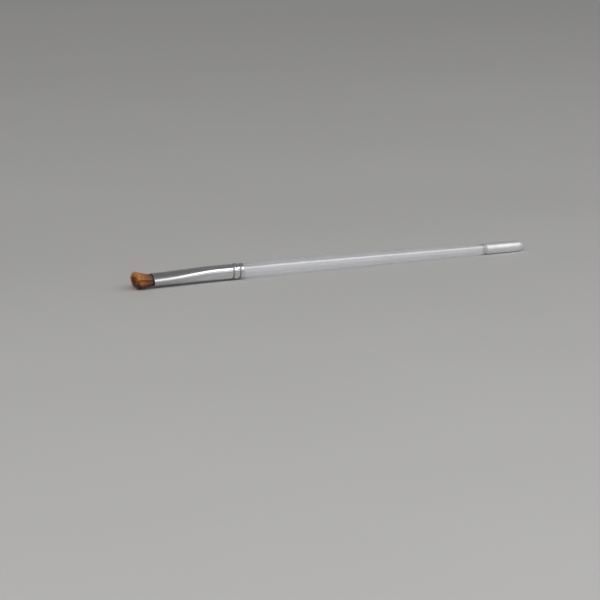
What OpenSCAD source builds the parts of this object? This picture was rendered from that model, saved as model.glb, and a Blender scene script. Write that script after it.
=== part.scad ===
// Fine detail brush, lying on its side: a short splayed tuft in a crimped metal ferrule,
// on a clear handle with a metal end cap.
// X runs along the brush with the hair toward -X, Z is up, and the origin lies on the
// resting surface, below the middle of the brush.

/* [Hair] */
// Length of the hair in front of the ferrule
hair_out = 9.8; // [8.4:0.2:11]
// Spread of the hair at its end, the wide way
spread_wide = 1.75; // [1:0.05:2]
// Spread of the hair at its end, the thin way
spread_thin = 2.9; // [2.4:0.05:3.2]
// How much shorter the middle hairs are than the rim
hollow = 0.5; // [0:0.1:0.8]
// How much shorter the hairs are on the -Y side than on the +Y side
slant_side = 1.7; // [0:0.1:1.9]
// How much shorter the upper hairs are than the lower ones
slant_up = 0.6; // [0:0.1:1]
// Largest loss of length from one hair to another
uneven = 0.7; // [0:0.1:1]
// Distance from hair to hair in the mouth, the wide way
hair_pitch_wide = 0.38; // [0.32:0.01:0.4]
// Distance from hair to hair in the mouth, the thin way
hair_pitch_thin = 0.275; // [0.265:0.005:0.29]
// Share of its place in the bundle that one hair fills
hair_fill = 0.62; // [0.5:0.02:0.7]
// Length of the bound roots inside the ferrule
root_len = 9; // [8:0.5:12]

/* [Ferrule] */
// Length of the ferrule
ferrule_len = 43.4; // [38:0.2:50]
// Diameter of the round tube
ferrule_d = 6.9; // [6.6:0.1:7.2]
// Thickness of the pressed mouth
mouth_thick = 5.2; // [4.6:0.1:5.8]
// How far the press moves the mouth below the middle of the tube
press_shift = 0.7; // [0:0.1:0.8]
// Thickness of the metal
wall = 0.3; // [0.25:0.05:0.35]
// Length of the round stretch that holds the handle's tenon
tenon_len = 12.2; // [10:0.2:16]
// Depth of the two crimp grooves
crimp_depth = 0.36; // [0.2:0.02:0.42]
// Height of the bead between the grooves
bead_height = 0.22; // [0.1:0.02:0.3]

/* [Handle] */
// Length of the handle between the ferrule and the neck
handle_len = 125.7; // [110:0.1:140]
// Diameter of the belly
belly_d = 7.36; // [7.2:0.02:7.6]
// Distance of the belly behind the ferrule
belly_at = 18; // [12:1:30]
// Diameter at the tail
tail_d = 5.5; // [5.3:0.1:5.8]
// Hollow of the taper from belly to tail, where 1 is straight
taper_hollow = 1.45; // [1.2:0.05:1.8]
// Length of the rounding at the tail
tail_round = 8; // [4:0.5:10]

/* [End cap] */
// Length of the cap
cap_len = 21.2; // [16:0.2:24]
// Diameter of the cap
cap_d = 5.3; // [5:0.1:5.5]
// Thickness of the cap's metal
cap_wall = 0.35; // [0.3:0.05:0.4]
// Length of the rounded nose
nose_len = 4.6; // [3:0.1:8]
// Width of the dark joint between handle and cap
neck_len = 0.9; // [0.7:0.1:2]

/* [Pose] */
// Turn of the pressed mouth about the length of the brush, in degrees
roll = 14; // [-20:1:20]

/* [Hidden] */
$fn = 96;

// Fits
fit = 0.02;
hair_gap = 0.1;
glue_film = 0.15;

// Ferrule, with distances counted from its mouth toward the tail
press_len = ferrule_len - tenon_len;
ferrule_r = ferrule_d / 2;
bore_r = ferrule_r - wall;
sides = 48;
press_steps = 12;
lap = 0.6;
lap_step = 0.015;
mouth_edge = 0.08;
groove_r = 0.5;
groove_out = ferrule_r + groove_r - crimp_depth;
groove_back = [5.1, 1.85];
groove_at = [for (back = groove_back) ferrule_len - back];
bead_at = (groove_at[0] + groove_at[1]) / 2;
bead_half = 1.05;
bead_r = (bead_half * bead_half + bead_height * bead_height) / (2 * bead_height);
lip_r = 0.42;
lip_rise = 0.16;
crimp_margin = 1;

// Hair
root_front = 1.6;
hair_lift = 0.9;
thread_r = 0.2;
thread_turns = 4;
thread_pitch = 0.9;
thread_steps = 24;
waist = 2 * thread_r + 2 * fit;
waist_back = 1.5;
waist_edge = 0.3;
waist_len = thread_turns * thread_pitch + 2 * thread_r + 2 * fit;
waist_at = root_len - waist_back - waist_edge - waist_len;
bend_at = 0.55 * hair_out;
bend_share = 0.42;
bend_thin = 0.8;
bend_sway = 0.12;
tip_sway = 0.3;
mouth_b = mouth_thick / 2 - wall - hair_gap;
mouth_a = half_wide(0) - wall - hair_gap;
hairs_wide = round(2 * mouth_a / hair_pitch_wide);
hairs_thin = round(2 * mouth_b / hair_pitch_thin);
rim_count = 2 * (hairs_wide + hairs_thin);
hair_count = hairs_wide * hairs_thin;
loss = rands(0, 1, hair_count, 12);
sway_wide = rands(-1, 1, hair_count, 13);
sway_thin = rands(-1, 1, hair_count, 14);

// Set resin behind the roots
plug_len = 6;

// Handle and cap
swell_steps = 5;
taper_steps = 14;
taper_crowd = 1.5;
belly_blend = 0.05;
round_steps = 6;
nose_steps = 10;
glued_len = groove_at[0] - press_len - groove_r - wall;
belly_r = belly_d / 2;
tail_r = tail_d / 2;
cap_r = cap_d / 2;
cap_bore = cap_r - cap_wall;
spigot_r = cap_bore - glue_film;
spigot_short = 2;
spigot_len = cap_len - nose_len - spigot_short;
neck_rise = 0.12;
neck_r = cap_bore + neck_rise;
handle_end = ferrule_len + handle_len;
cap_start = handle_end + neck_len;
cap_end = cap_start + cap_len;
nose_at = cap_end - nose_len;

// Resting pose
tips = [for (k = [0 : hair_count - 1]) hair_tip(k)];
tuft_drop = max([for (tip = tips) tip[0] * cos(roll) - tip[1] * sin(roll)]);
tuft_reach = max([for (tip = tips) -tip[2]]);
axis_z = max(belly_r, tuft_drop);
mouth_x = (tuft_reach - cap_end) / 2;

// Smooth step from 0 to 1
function ease(t) = let (c = min(max(t, 0), 1)) c * c * (3 - 2 * c);

// Girth of an oval with half widths a and b
function girth(a, b) = PI * (3 * (a + b) - sqrt((3 * a + b) * (a + 3 * b)));

// Half width of an oval of half thickness b whose girth is that of the round tube, by halving
function widen(b, low, high, n) =
    let (mid = (low + high) / 2)
    n == 0 ? mid
    : girth(mid, b) > 2 * PI * ferrule_r ? widen(b, low, mid, n - 1) : widen(b, mid, high, n - 1);

// Outer half thickness and half width of the ferrule at a distance from its mouth
function half_thin(s) = mouth_thick / 2 + (ferrule_r - mouth_thick / 2) * ease(s / press_len);
function half_wide(s) = s < press_len ? widen(half_thin(s), ferrule_r, 2 * ferrule_r, 20) : ferrule_r;

// Shift of the section's middle toward the lower side, which the splayed hair partly makes up for
function centre(s) = press_shift * (s < 0 ? 1 + hair_lift * s / hair_out : 1 - ease(s / press_len));

// Oval ring of the ferrule's section, drawn in by the given amount
function section(s, inset) =
    let (a = half_wide(s) - inset, b = half_thin(s) - inset)
    [for (i = [0 : sides - 1]) [centre(s) + b * cos(360 * i / sides), a * sin(360 * i / sides), s]];

// Faces of a skin over rings of n points: closed on itself, or with an end cap on each end
function band_faces(k, next, n) =
    [for (i = [0 : n - 1])
        let (p = k * n + i, q = k * n + (i + 1) % n, r = next * n + (i + 1) % n, t = next * n + i)
        each [[p, r, q], [p, t, r]]];
function cap_faces(count, n) =
    let (last = (count - 1) * n)
    [for (i = [1 : n - 2]) each [[0, i, i + 1], [last, last + i + 1, last + i]]];

// Solid over a list of rings, either a ring-shaped tube or a bar with flat ends
module skin(rings, tube) {
    count = len(rings);
    n = len(rings[0]);
    bands = [for (k = [0 : count - (tube ? 1 : 2)]) each band_faces(k, (k + 1) % count, n)];
    polyhedron(
        points = [for (ring = rings) each ring],
        faces = concat(bands, tube ? [] : cap_faces(count, n)));
}

// Place of a square's point on the unit disc, keeping rows as rings
function disc(u, v) =
    u == 0 && v == 0 ? [0, 0]
    : abs(u) > abs(v) ? u * [cos(45 * v / u), sin(45 * v / u)] : v * [sin(45 * u / v), cos(45 * u / v)];

// Share of the spread that the hair has reached at a length out of the mouth
function spread_share(out) =
    out <= 0 ? 0
    : out < bend_at ? bend_share * out / bend_at
    : bend_share + (1 - bend_share) * (out - bend_at) / (hair_out - bend_at);

// Point of the bundle for a square's point, at a length out of the mouth
function bundle(u, v, out) =
    let (d = disc(u, v), share = spread_share(out))
    [centre(-out) + (mouth_b + spread_thin * share) * d[1], (mouth_a + spread_wide * share) * d[0], -out];

// Centre of a hair in the square, and half the size of its place there
function hair_u(k) = (2 * floor(k / hairs_thin) + 1) / hairs_wide - 1;
function hair_v(k) = (2 * (k % hairs_thin) + 1) / hairs_thin - 1;

// Three corners of a hair at a length out of the mouth, thinned and swayed by the given shares
function hair_ring(k, out, thin, sway) =
    let (hu = 1 / hairs_wide, hv = 1 / hairs_thin, f = hair_fill * thin)
    let (u = hair_u(k) + sway * sway_wide[k] * hu, v = hair_v(k) + sway * sway_thin[k] * hv)
    [bundle(u - f * hu, v - f * hv, out), bundle(u + f * hu, v - f * hv, out), bundle(u, v + f * hv, out)];

// Tip of one hair
function hair_tip(k) =
    let (d = disc(hair_u(k), hair_v(k)))
    let (slanted = slant_side * (1 - d[0]) / 2 + slant_up * (1 - d[1]) / 2)
    hair_ring(k, hair_out - uneven * loss[k] - hollow * (1 - d * d) - slanted, 0, tip_sway)[2];

// Ten points of one hair: its foot, the mouth, the bend and the tip
function hair_points(k) = concat(
    hair_ring(k, -root_front, 1, 0),
    hair_ring(k, 0, 1, 0),
    hair_ring(k, bend_at, bend_thin, bend_sway),
    [hair_tip(k)]);

// Faces of one hair that starts at point p, standing in the cell with corners c
function hair_faces(p, c) = concat(
    [[p + 1, c[1], c[0]], [p, p + 1, c[0]], [p + 2, c[2], c[1]], [p + 1, p + 2, c[1]],
     [p + 2, c[3], c[2]], [p, c[0], c[3]], [p + 2, p, c[3]]],
    [for (ring = [0, 3], i = [0 : 2])
        let (a = p + ring + i, b = p + ring + (i + 1) % 3)
        each [[a, a + 3, b + 3], [a, b + 3, b]]],
    [for (i = [0 : 2]) [p + 6 + i, p + 9, p + 6 + (i + 1) % 3]]);

// Grid point numbers, and the points around the rim of the grid in order
function grid(i, j) = i * (hairs_thin + 1) + j;
function rim_cells() = concat(
    [for (i = [0 : hairs_wide - 1]) [i, 0]],
    [for (j = [0 : hairs_thin - 1]) [hairs_wide, j]],
    [for (i = [0 : hairs_wide - 1]) [hairs_wide - i, hairs_thin]],
    [for (j = [0 : hairs_thin - 1]) [0, hairs_thin - j]]);

// Rim ring of the root block at a distance behind the mouth, drawn in by the given amount
function root_ring(s, inset) =
    [for (c = rim_cells())
        let (d = disc(2 * c[0] / hairs_wide - 1, 2 * c[1] / hairs_thin - 1))
        let (drawn = wall + hair_gap + inset)
        [centre(s) + (half_thin(s) - drawn) * d[1], (half_wide(s) - drawn) * d[0], s]];

// Lays a piece built along Z down along X, turned to the photographed pose
module lay() {
    translate([mouth_x, 0, axis_z]) rotate([0, 90, 0]) rotate([0, 0, roll]) children();
}

// Splayed hairs standing on the block of their bound roots
module hair_tuft() {
    grid_points = [for (i = [0 : hairs_wide], j = [0 : hairs_thin])
        bundle(2 * i / hairs_wide - 1, 2 * j / hairs_thin - 1, -root_front)];
    hairs_from = len(grid_points);
    per_hair = len(hair_points(0));
    root_from = hairs_from + per_hair * hair_count;
    roots = [root_ring(waist_at - waist_edge, 0), root_ring(waist_at, waist),
             root_ring(waist_at + waist_len, waist), root_ring(waist_at + waist_len + waist_edge, 0),
             root_ring(root_len, 0)];
    rim = [for (c = rim_cells()) grid(c[0], c[1])];
    root_loops = [for (k = [0 : len(roots) - 1])
        [for (i = [0 : rim_count - 1]) root_from + k * rim_count + i]];
    loops = concat([rim], root_loops);
    back = loops[len(loops) - 1];
    color([0.58, 0.37, 0.2])
    lay()
    polyhedron(
        points = concat(
            grid_points,
            [for (k = [0 : hair_count - 1]) each hair_points(k)],
            [for (ring = roots) each ring]),
        faces = concat(
            [for (k = [0 : hair_count - 1])
                let (i = floor(k / hairs_thin), j = k % hairs_thin)
                each hair_faces(hairs_from + per_hair * k,
                    [grid(i, j), grid(i + 1, j), grid(i + 1, j + 1), grid(i, j + 1)])],
            [for (k = [0 : len(loops) - 2], i = [0 : rim_count - 1])
                let (j = (i + 1) % rim_count)
                each [[loops[k][i], loops[k][j], loops[k + 1][j]],
                      [loops[k][i], loops[k + 1][j], loops[k + 1][i]]]],
            [for (i = [1 : rim_count - 2]) [back[0], back[i], back[i + 1]]]));
}

// Half thickness and half width of the thread's path at a distance from the mouth
function thread_halves(s) =
    let (inset = wall + hair_gap + waist - thread_r - fit)
    [half_thin(s) - inset, half_wide(s) - inset];

// Point of the thread's centre line at a step along its turns
function thread_point(i) =
    let (turn = 360 * i / thread_steps, s = waist_at + fit + thread_r + thread_pitch * i / thread_steps)
    let (h = thread_halves(s))
    [centre(s) + h[0] * cos(turn), h[1] * sin(turn), s];

// Ring of the thread's surface at a step, square to the oval and to the length of the brush
function thread_ring(i) =
    let (turn = 360 * i / thread_steps, p = thread_point(i), h = thread_halves(p[2]))
    let (out = [cos(turn) / h[0], sin(turn) / h[1], 0])
    [for (angle = [0 : 60 : 300]) p + thread_r * (cos(angle) * [0, 0, 1] + sin(angle) * out / norm(out))];

// Thread wound round the waist of the roots
module binding_thread() {
    last = thread_turns * thread_steps;
    path = [for (i = [0 : last]) thread_point(i)];
    apart = thread_steps / 2;
    gap = min([for (i = [0 : last - apart], j = [i + apart : last]) norm(path[i] - path[j])]);
    echo(least_gap_between_turns = gap - 2 * thread_r);
    color([0.82, 0.78, 0.68])
    lay()
    skin([for (i = [0 : last]) thread_ring(i)], false);
}

// Set resin that holds the roots in the ferrule
module root_plug() {
    color([0.72, 0.55, 0.26])
    lay()
    skin([for (i = [0 : 3]) section(root_len + fit + i * plug_len / 3, wall + fit)], false);
}

// Half section of the crimped stretch: a bead between two grooves, and a rolled lip
module crimp_outline() {
    intersection() {
        translate([ferrule_r - crimp_margin, press_len])
        square([2 * crimp_margin, tenon_len]);
        difference() {
            union() {
                square([ferrule_r, ferrule_len]);
                translate([ferrule_r + bead_height - bead_r, bead_at])
                circle(bead_r);
                translate([ferrule_r + lip_rise - lip_r, ferrule_len - lip_r])
                circle(lip_r);
            }
            for (s = groove_at)
                translate([groove_out, s])
                circle(groove_r);
            difference() {
                square([bore_r, ferrule_len]);
                for (s = groove_at)
                    translate([groove_out, s])
                    circle(groove_r + wall);
            }
        }
    }
}

// Seamless tube, round and crimped at the back and pressed to an oval mouth at the same girth
module ferrule() {
    stations = [for (i = [1 : press_steps]) i * press_len / press_steps];
    last = press_len + lap;
    outer = concat(
        [section(0, mouth_edge), section(mouth_edge, 0)],
        [for (s = stations) section(s, s < press_len ? 0 : -lap_step)],
        [section(last, -lap_step)]);
    inner = concat(
        [section(last, wall + lap_step)],
        [for (i = [press_steps - 1 : -1 : 0])
            section(stations[i], wall + (stations[i] < press_len ? 0 : lap_step))],
        [section(0, wall)]);
    color([0.78, 0.78, 0.8])
    lay() {
        skin(concat(outer, inner), true);
        rotate_extrude()
        crimp_outline();
    }
}

// Film of glue round the front of the tenon and over its end
module tenon_adhesive() {
    color([0.86, 0.84, 0.74, 0.7])
    lay()
    rotate_extrude()
    difference() {
        translate([0, press_len])
        square([bore_r - fit, glued_len]);
        translate([0, press_len + glue_film])
        square([bore_r - glue_film, glued_len]);
    }
}

// Radius of the handle at a distance behind the ferrule: a swell to the belly, then a hollow taper
function handle_radius(d) =
    let (t = max(d - belly_at, 0) / (handle_len - belly_at))
    let (along = t * t * (1 + belly_blend) / (t + belly_blend))
    d < belly_at ? ferrule_r + (belly_r - ferrule_r) * ease(d / belly_at)
    : tail_r + (belly_r - tail_r) * pow(1 - along, taper_hollow);

// Clear turned handle, with a tenon in the ferrule and a spigot in the cap
module handle() {
    round_from = handle_len - tail_round;
    round_rise = handle_radius(round_from) - neck_r;
    swell = [for (i = [0 : swell_steps]) i * belly_at / swell_steps];
    taper = [for (i = [1 : taper_steps])
        belly_at + (round_from - belly_at) * pow(i / taper_steps, taper_crowd)];
    body = [for (d = concat(swell, taper)) [handle_radius(d), ferrule_len + d]];
    tail = [for (i = [1 : round_steps])
        let (turn = 90 * i / round_steps)
        [neck_r + round_rise * cos(turn), ferrule_len + round_from + tail_round * sin(turn)]];
    glued_to = press_len + glued_len;
    tenon = [[0, press_len + glue_film], [bore_r - glue_film - fit, press_len + glue_film],
             [bore_r - glue_film - fit, glued_to], [bore_r - fit, glued_to], [bore_r - fit, ferrule_len]];
    spigot = [[spigot_r, handle_end], [spigot_r, cap_start + spigot_len], [0, cap_start + spigot_len]];
    color([0.86, 0.88, 0.93, 0.45])
    lay()
    rotate_extrude()
    difference() {
        polygon(concat(tenon, body, tail, spigot));
        for (s = groove_at)
            translate([groove_out, s])
            circle(groove_r + wall + fit);
    }
}

// Dark glue that fills the neck and the gap inside the cap
module cap_adhesive() {
    color([0.3, 0.31, 0.32])
    lay()
    rotate_extrude()
    polygon([[spigot_r + fit, handle_end], [neck_r, handle_end], [neck_r, cap_start - fit],
             [cap_bore - fit, cap_start - fit], [cap_bore - fit, cap_start + spigot_len + glue_film],
             [0, cap_start + spigot_len + glue_film], [0, cap_start + spigot_len + fit],
             [spigot_r + fit, cap_start + spigot_len + fit]]);
}

// Half outline of a round-nosed bar from the cap's mouth, of the given radius and nose length
function nose(r, length) = concat(
    [[0, cap_start], [r, cap_start]],
    [for (i = [0 : nose_steps])
        let (turn = 90 * i / nose_steps)
        [r * cos(turn), nose_at + length * sin(turn)]]);

// Drawn metal cap with a rounded nose
module end_cap() {
    color([0.83, 0.83, 0.85])
    lay()
    rotate_extrude()
    difference() {
        polygon(nose(cap_r, nose_len));
        polygon(nose(cap_bore, nose_len - cap_wall));
    }
}

hair_tuft();
binding_thread();
root_plug();
ferrule();
tenon_adhesive();
handle();
cap_adhesive();
end_cap();
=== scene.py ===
"""Looks of a fine detail brush: splayed hair, crimped ferrule, clear handle and bright end cap.

Sizes of the pieces are in millimetres, as on a maker's drawing, and become metres when a surface
is laid in the frame. Distances along the brush are counted from the ferrule's mouth toward the
tail. The studio is measured in metres, and so are the depths of a finish, whose cells are counted
per metre.
"""

import logging
import math
from dataclasses import dataclass, field
from enum import Enum
from typing import Any, Optional, Protocol

import bpy
import numpy as np
from mathutils import Euler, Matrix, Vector

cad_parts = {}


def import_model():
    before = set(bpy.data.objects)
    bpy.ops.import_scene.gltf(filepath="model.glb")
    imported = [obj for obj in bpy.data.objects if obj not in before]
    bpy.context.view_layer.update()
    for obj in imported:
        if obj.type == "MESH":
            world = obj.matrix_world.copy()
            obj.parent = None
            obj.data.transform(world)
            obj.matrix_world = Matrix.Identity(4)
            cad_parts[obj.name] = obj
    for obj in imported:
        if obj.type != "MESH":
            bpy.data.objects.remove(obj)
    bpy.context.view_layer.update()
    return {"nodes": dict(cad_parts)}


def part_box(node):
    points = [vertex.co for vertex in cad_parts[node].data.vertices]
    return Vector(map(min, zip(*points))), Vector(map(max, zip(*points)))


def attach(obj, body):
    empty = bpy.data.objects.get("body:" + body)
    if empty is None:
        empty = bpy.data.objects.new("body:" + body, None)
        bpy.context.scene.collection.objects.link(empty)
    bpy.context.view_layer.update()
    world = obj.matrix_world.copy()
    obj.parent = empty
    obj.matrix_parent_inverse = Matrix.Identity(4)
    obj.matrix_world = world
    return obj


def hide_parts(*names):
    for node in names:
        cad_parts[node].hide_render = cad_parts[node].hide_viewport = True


MM = 0.001
BODY = "root"
SEED = 41
LOG = logging.getLogger("brush")

# A piece's UV map takes this name.
BAKE_UV = "OFBake"

# Rounds of halving when a girth is solved, points on a rounded and on a rolled edge, corners of a hair.
HALVINGS = 40
EDGE_ROWS = 6
ROLL_ROWS = 5
CORNERS = 3
NO_TRIS = np.zeros((0, 3), int)

Triple = tuple[float, float, float]
Colour = Triple
Pair = tuple[float, float]
Stops = tuple[tuple[float, Colour], ...]
Socket = bpy.types.NodeSocket

# The range of a share, and the range that noise mostly keeps to.
WHOLE: Pair = (0.0, 1.0)
CLOUDS: Pair = (0.3, 0.7)


class Slot(Enum):
    """Names of the material slots in the record; the pieces here do not read them."""

    HAIR = "hair"
    TUBE = "plated_tube"
    ACRYLIC = "clear_acrylic"
    DARK_GLUE = "dark_glue"
    CAP = "bright_metal"


class Detail(Enum):
    """Layers of a noise, from one smooth layer to four."""

    SMOOTH = 1.0
    FINE = 2.0
    GRAINY = 3.0
    CLOUDY = 4.0


class Blend(Enum):
    """Ways of joining two colours."""

    MIX = "MIX"
    MULTIPLY = "MULTIPLY"


class Quarter(Enum):
    """Quarters of a rounded edge in a half section, in degrees: 0 is outward, 90 is to the tail."""

    FRONT_INNER = (-180.0, -90.0)
    FRONT_OUTER = (-90.0, 0.0)
    BACK_OUTER = (0.0, 90.0)


# Surfaces


@dataclass
class Surface:
    """A mesh in numbers: points in metres, faces, and values that the finish reads."""

    points: np.ndarray
    quads: np.ndarray
    tris: np.ndarray
    values: dict[str, np.ndarray] = field(default_factory=dict)
    uv: Optional[np.ndarray] = None

    def volume(self) -> float:
        """Volume inside the faces, from tetrahedra to the origin.

        Returns:
            The volume, negative where the faces point inward.
        """
        fan = np.concatenate([self.tris, self.quads[:, [0, 1, 2]], self.quads[:, [0, 2, 3]]])
        a, b, c = (self.points[fan[:, corner]] for corner in range(3))
        return float(np.einsum("ij,ij->i", a, np.cross(b, c)).sum() / 6)

    def outward(self) -> "Surface":
        """Turns the faces so that the volume is positive.

        Returns:
            The surface itself.
        """
        if self.volume() < 0:
            self.quads = self.quads[:, ::-1]
            self.tris = self.tris[:, ::-1]
        return self

    def piece(self, name: str) -> bpy.types.Object:
        """Puts the surface into a new smooth-shaded object at the origin.

        Args:
            name: The piece's name.

        Returns:
            The object, linked to the scene.
        """
        mesh = bpy.data.meshes.new(name)
        corners = np.concatenate([self.quads.ravel(), self.tris.ravel()]).astype(np.int32)
        sizes = np.repeat([4, 3], [len(self.quads), len(self.tris)])
        starts = np.concatenate([[0], np.cumsum(sizes)[:-1]]).astype(np.int32)
        mesh.vertices.add(len(self.points))
        mesh.vertices.foreach_set("co", self.points.astype(np.float32).ravel())
        mesh.loops.add(len(corners))
        mesh.loops.foreach_set("vertex_index", corners)
        mesh.polygons.add(len(sizes))
        mesh.polygons.foreach_set("loop_start", starts)
        mesh.polygons.foreach_set("use_smooth", np.ones(len(sizes), dtype=bool))
        for label, value in self.values.items():
            attribute = mesh.attributes.new(label, "FLOAT", "POINT")
            attribute.data.foreach_set("value", value.astype(np.float32).ravel())
        if self.uv is not None:
            layer = mesh.uv_layers.new(name=BAKE_UV)
            layer.data.foreach_set("uv", self.uv[corners].astype(np.float32).ravel())
        mesh.update(calc_edges=True)
        mesh.validate()
        made = bpy.data.objects.new(name, mesh)
        bpy.context.scene.collection.objects.link(made)
        return made


def bands(rows: np.ndarray) -> np.ndarray:
    """Quads between rings of point numbers: a point, the next one round, and both on the next ring."""
    below, above = rows[:-1], rows[1:]
    return np.stack([below, np.roll(below, -1, 1), np.roll(above, -1, 1), above], -1).reshape(-1, 4)


def loft(rings: np.ndarray, poles: Optional[np.ndarray] = None) -> Surface:
    """Closed skin over rings of equal count.

    Two poles close the ends with fans. Without them the last ring joins the first, as in a
    tube that has an outer and an inner wall.

    Args:
        rings: Points of shape (rings, points round, 3).
        poles: Points before the first ring and after the last one, if any.

    Returns:
        The surface, facing outward.
    """
    index = np.arange(rings[..., 0].size).reshape(rings.shape[:2])
    points = rings.reshape(-1, 3)
    first, last = index[0], index[-1]
    if poles is None:
        return Surface(points, bands(np.concatenate([index, index[:1]])), NO_TRIS).outward()
    pole = np.full_like(first, index.size)
    front = np.stack([pole, np.roll(first, -1), first], -1)
    back = np.stack([last, np.roll(last, -1), pole + 1], -1)
    return Surface(np.concatenate([points, poles]), bands(index), np.concatenate([front, back])).outward()


def ease(t: np.ndarray) -> np.ndarray:
    """Smooth step from 0 to 1: three t squared less two t cubed."""
    c = np.clip(t, 0.0, 1.0)
    return c * c * (3.0 - 2.0 * c)


def arc(centre: Pair, radius: float, quarter: Quarter, count: int) -> np.ndarray:
    """Quarter of a circle as rows of radius and distance: cosine goes outward, and sine along."""
    turn = np.radians(np.linspace(*quarter.value, count))
    return np.stack([centre[0] + radius * np.cos(turn), centre[1] + radius * np.sin(turn)], -1)


@dataclass(frozen=True)
class BrushAxis:
    """The brush's axis in the frame, and the turn of its pressed mouth about it."""

    mouth_x: float
    height: float
    roll: float = math.radians(14.0)

    @classmethod
    def from_frame(cls) -> "BrushAxis":
        """Reads the mouth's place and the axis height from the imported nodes."""
        low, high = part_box("handle")
        return cls(mouth_x=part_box("ferrule")[0].x / MM, height=(low.z + high.z) / 2 / MM)

    def place(self, thin: np.ndarray, wide: np.ndarray, along: np.ndarray) -> np.ndarray:
        """Points in metres from the section's thin and wide ways and the distance along.

        The section is turned by the roll, its thin way points down, and the distance runs on X.

        Args:
            thin: Offsets across the thin way, in millimetres.
            wide: Offsets across the wide way, in millimetres.
            along: Distances from the mouth, in millimetres.

        Returns:
            Points with a last axis of three.
        """
        c, s = math.cos(self.roll), math.sin(self.roll)
        ways = (along + self.mouth_x, thin * s + wide * c, self.height - thin * c + wide * s)
        return MM * np.stack(np.broadcast_arrays(*ways), -1)

    def turned(self, profile: np.ndarray, columns: int) -> Surface:
        """Revolves a half section about the axis, on which its first and last points lie.

        Args:
            profile: Rows of radius and distance along.
            columns: Points round the axis.

        Returns:
            The closed surface.
        """
        turn = np.linspace(0.0, 2.0 * np.pi, columns, endpoint=False)
        radius, along = profile[1:-1, :1], profile[1:-1, 1:]
        rings = self.place(radius * np.cos(turn), radius * np.sin(turn), along)
        return loft(rings, self.place(np.zeros(2), np.zeros(2), profile[[0, -1], 1]))


# Finishes


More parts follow.
